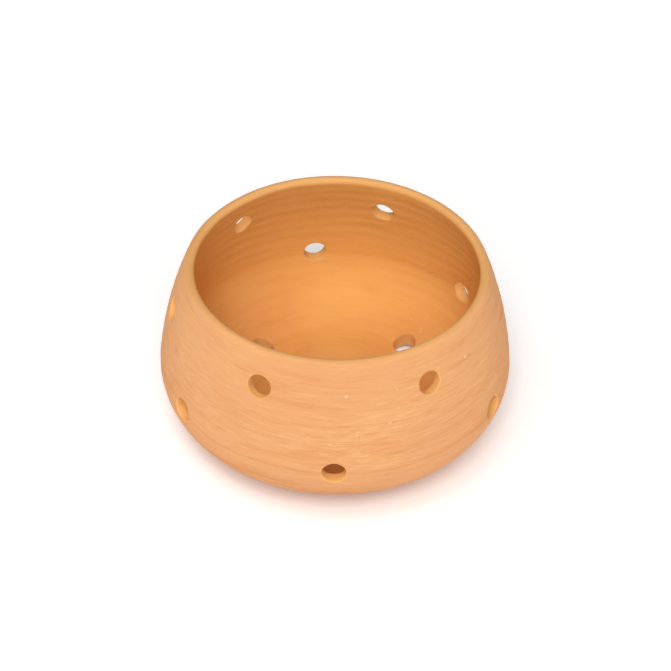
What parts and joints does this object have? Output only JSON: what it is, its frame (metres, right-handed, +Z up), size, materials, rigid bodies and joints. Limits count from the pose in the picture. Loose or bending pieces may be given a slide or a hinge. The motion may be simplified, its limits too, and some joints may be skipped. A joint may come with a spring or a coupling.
{
  "type": "flower frog",
  "caption": "Squat round terracotta bowl, open at the top, with stem holes pierced through its wall and floor.",
  "frame": {"origin": "on the table, under the middle of the bowl", "axes": "+Z up out of the mouth; -Y is the front, the side nearest the camera in the picture; +X to the right"},
  "size_m": [0.175, 0.1749, 0.094],
  "materials": {
    "clay": "unglazed fired terracotta, matt"
  },
  "bodies": {
    "root": {"bowl": "clay"}
  },
  "joints": []
}
